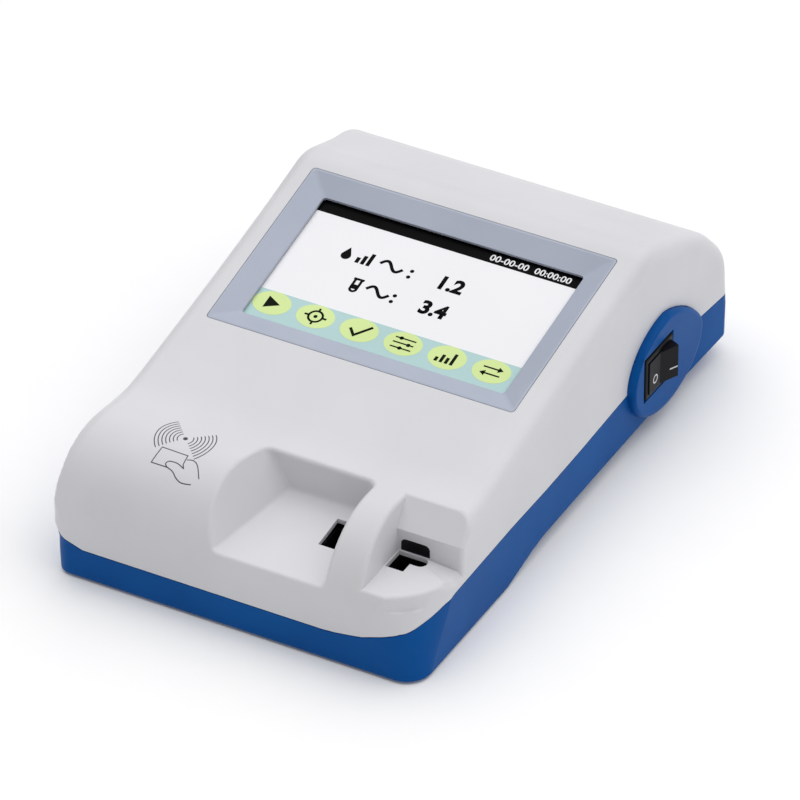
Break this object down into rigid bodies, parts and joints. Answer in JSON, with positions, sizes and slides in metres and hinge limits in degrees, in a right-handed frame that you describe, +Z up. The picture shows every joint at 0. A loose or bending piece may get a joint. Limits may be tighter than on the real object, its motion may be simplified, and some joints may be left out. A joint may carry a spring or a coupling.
{
  "type": "glycated hemoglobin analyzer",
  "caption": "Bench-top blood analyzer with a sloped touch screen, a cartridge well, a sample port and a rocker power switch.",
  "frame": {"origin": "middle of the underside, at the height of the feet's lower faces", "axes": "+X to the operator's right, -Y towards the operator, +Z up"},
  "size_m": [0.2308, 0.3596, 0.1137],
  "materials": {
    "white_shell": "fine satin moulded ABS",
    "blue_shell": "semi-gloss moulded ABS",
    "grey_bezel": "satin painted grey",
    "screen_glass": "smooth touch glass",
    "dark_module": "dark module",
    "black_plastic": "satin black",
    "black_rocker": "satin black",
    "soft_rubber": "matt",
    "steel_plate": "plain sheet",
    "bright_screws": "zinc plated",
    "contact_metal": "tinned brass",
    "circuit_board": "solder mask",
    "chip_resin": "moulded resin",
    "transformer_iron": "varnished",
    "capacitor_sleeve": "shrink sleeve",
    "cast_base": "machined",
    "clear_lamp": "clear resin"
  },
  "bodies": {
    "root": {"upper_housing": "white_shell", "lower_housing": "blue_shell", "display_bezel": "grey_bezel", "touch_panel": "screen_glass", "lcd_module": "dark_module", "photodiode": "dark_module", "switch_frame": "black_plastic", "cartridge_guide": "black_plastic", "port_guide": "black_plastic", "lamp_holder": "black_plastic", "detector_holder": "black_plastic", "power_inlet": "black_plastic", "board_connectors": "black_plastic", "buzzer": "black_plastic", "rubber_feet": "soft_rubber", "screen_gasket": "soft_rubber", "lcd_bracket": "steel_plate", "serial_port": "steel_plate", "usb_port": "steel_plate", "display_screws": "bright_screws", "board_screws": "bright_screws", "housing_screws": "bright_screws", "switch_terminals": "contact_metal", "inlet_pins": "contact_metal", "driver_board": "circuit_board", "main_board": "circuit_board", "supply_board": "circuit_board", "card_antenna": "circuit_board", "processor": "chip_resin", "supply_transformer": "transformer_iron", "supply_capacitors": "capacitor_sleeve", "optics_base": "cast_base", "heater_plate": "cast_base", "lamp": "clear_lamp", "optical_filter": "clear_lamp"},
    "rocker": {"switch_rocker": "black_rocker"}
  },
  "joints": [
    {"name": "rocker_tilt", "type": "hinge", "parent": "root", "child": "rocker", "pos_m": [0.10749, 0.08418, 0.043], "axis": [0, 0, 1], "range_deg": [0, 25]}
  ]
}
